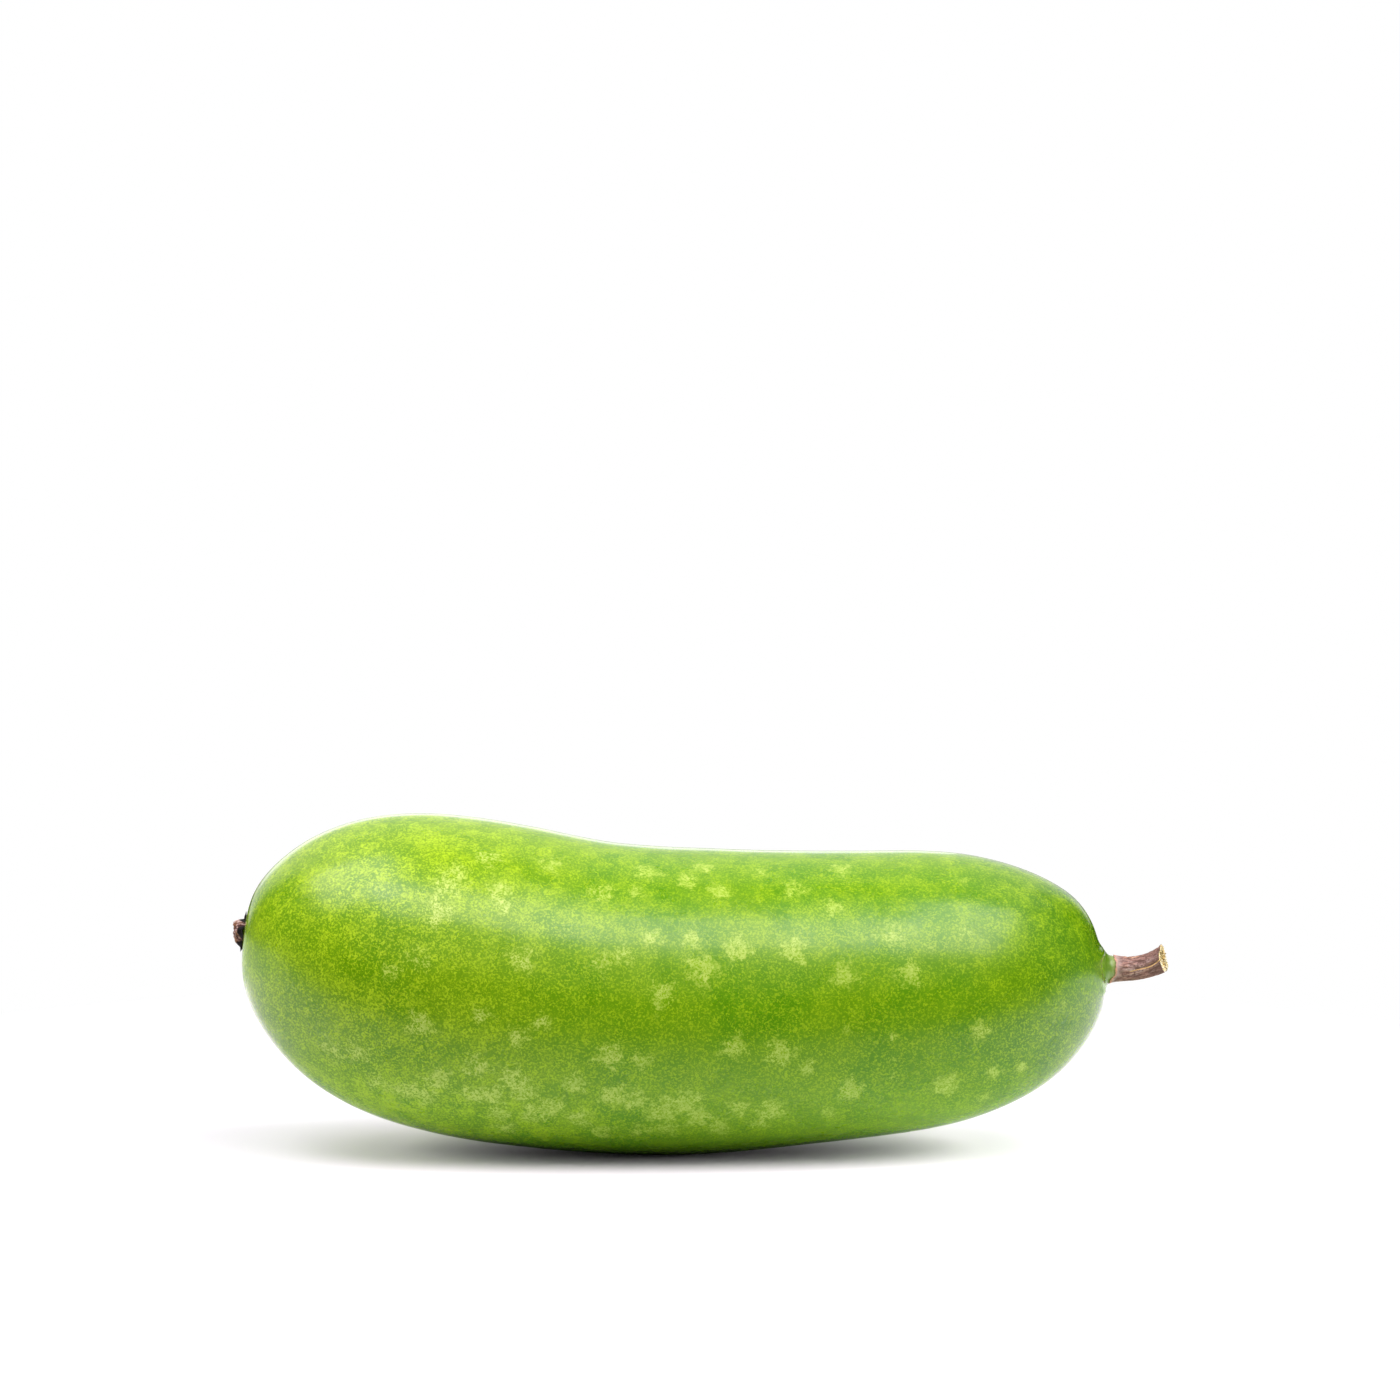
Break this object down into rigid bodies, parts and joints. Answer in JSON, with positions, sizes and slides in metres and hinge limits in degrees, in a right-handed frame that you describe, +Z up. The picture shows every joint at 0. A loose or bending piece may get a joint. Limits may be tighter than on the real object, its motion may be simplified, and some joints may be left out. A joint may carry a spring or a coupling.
{
  "type": "wax gourd",
  "caption": "Young wax gourd lying on its side, a plump bent green fruit with a cut woody stem and a dried flower at its other end.",
  "frame": {"origin": "middle of the small flat spot that the fruit rests on", "axes": "+X runs along the fruit to its stem, +Z is up, and -Y faces the viewer with the stem at the right"},
  "size_m": [0.335, 0.1157, 0.1225],
  "materials": {
    "green_skin": "satin, waxy, with pale flecks and fuzzy pale blotches",
    "brown_bark": "dry bark with ridges and cracks, pale torn fibres at the cut",
    "dry_flower": "dry and crumpled"
  },
  "bodies": {
    "root": {"fruit": "green_skin", "stem": "brown_bark", "withered_flower": "dry_flower"}
  },
  "joints": []
}
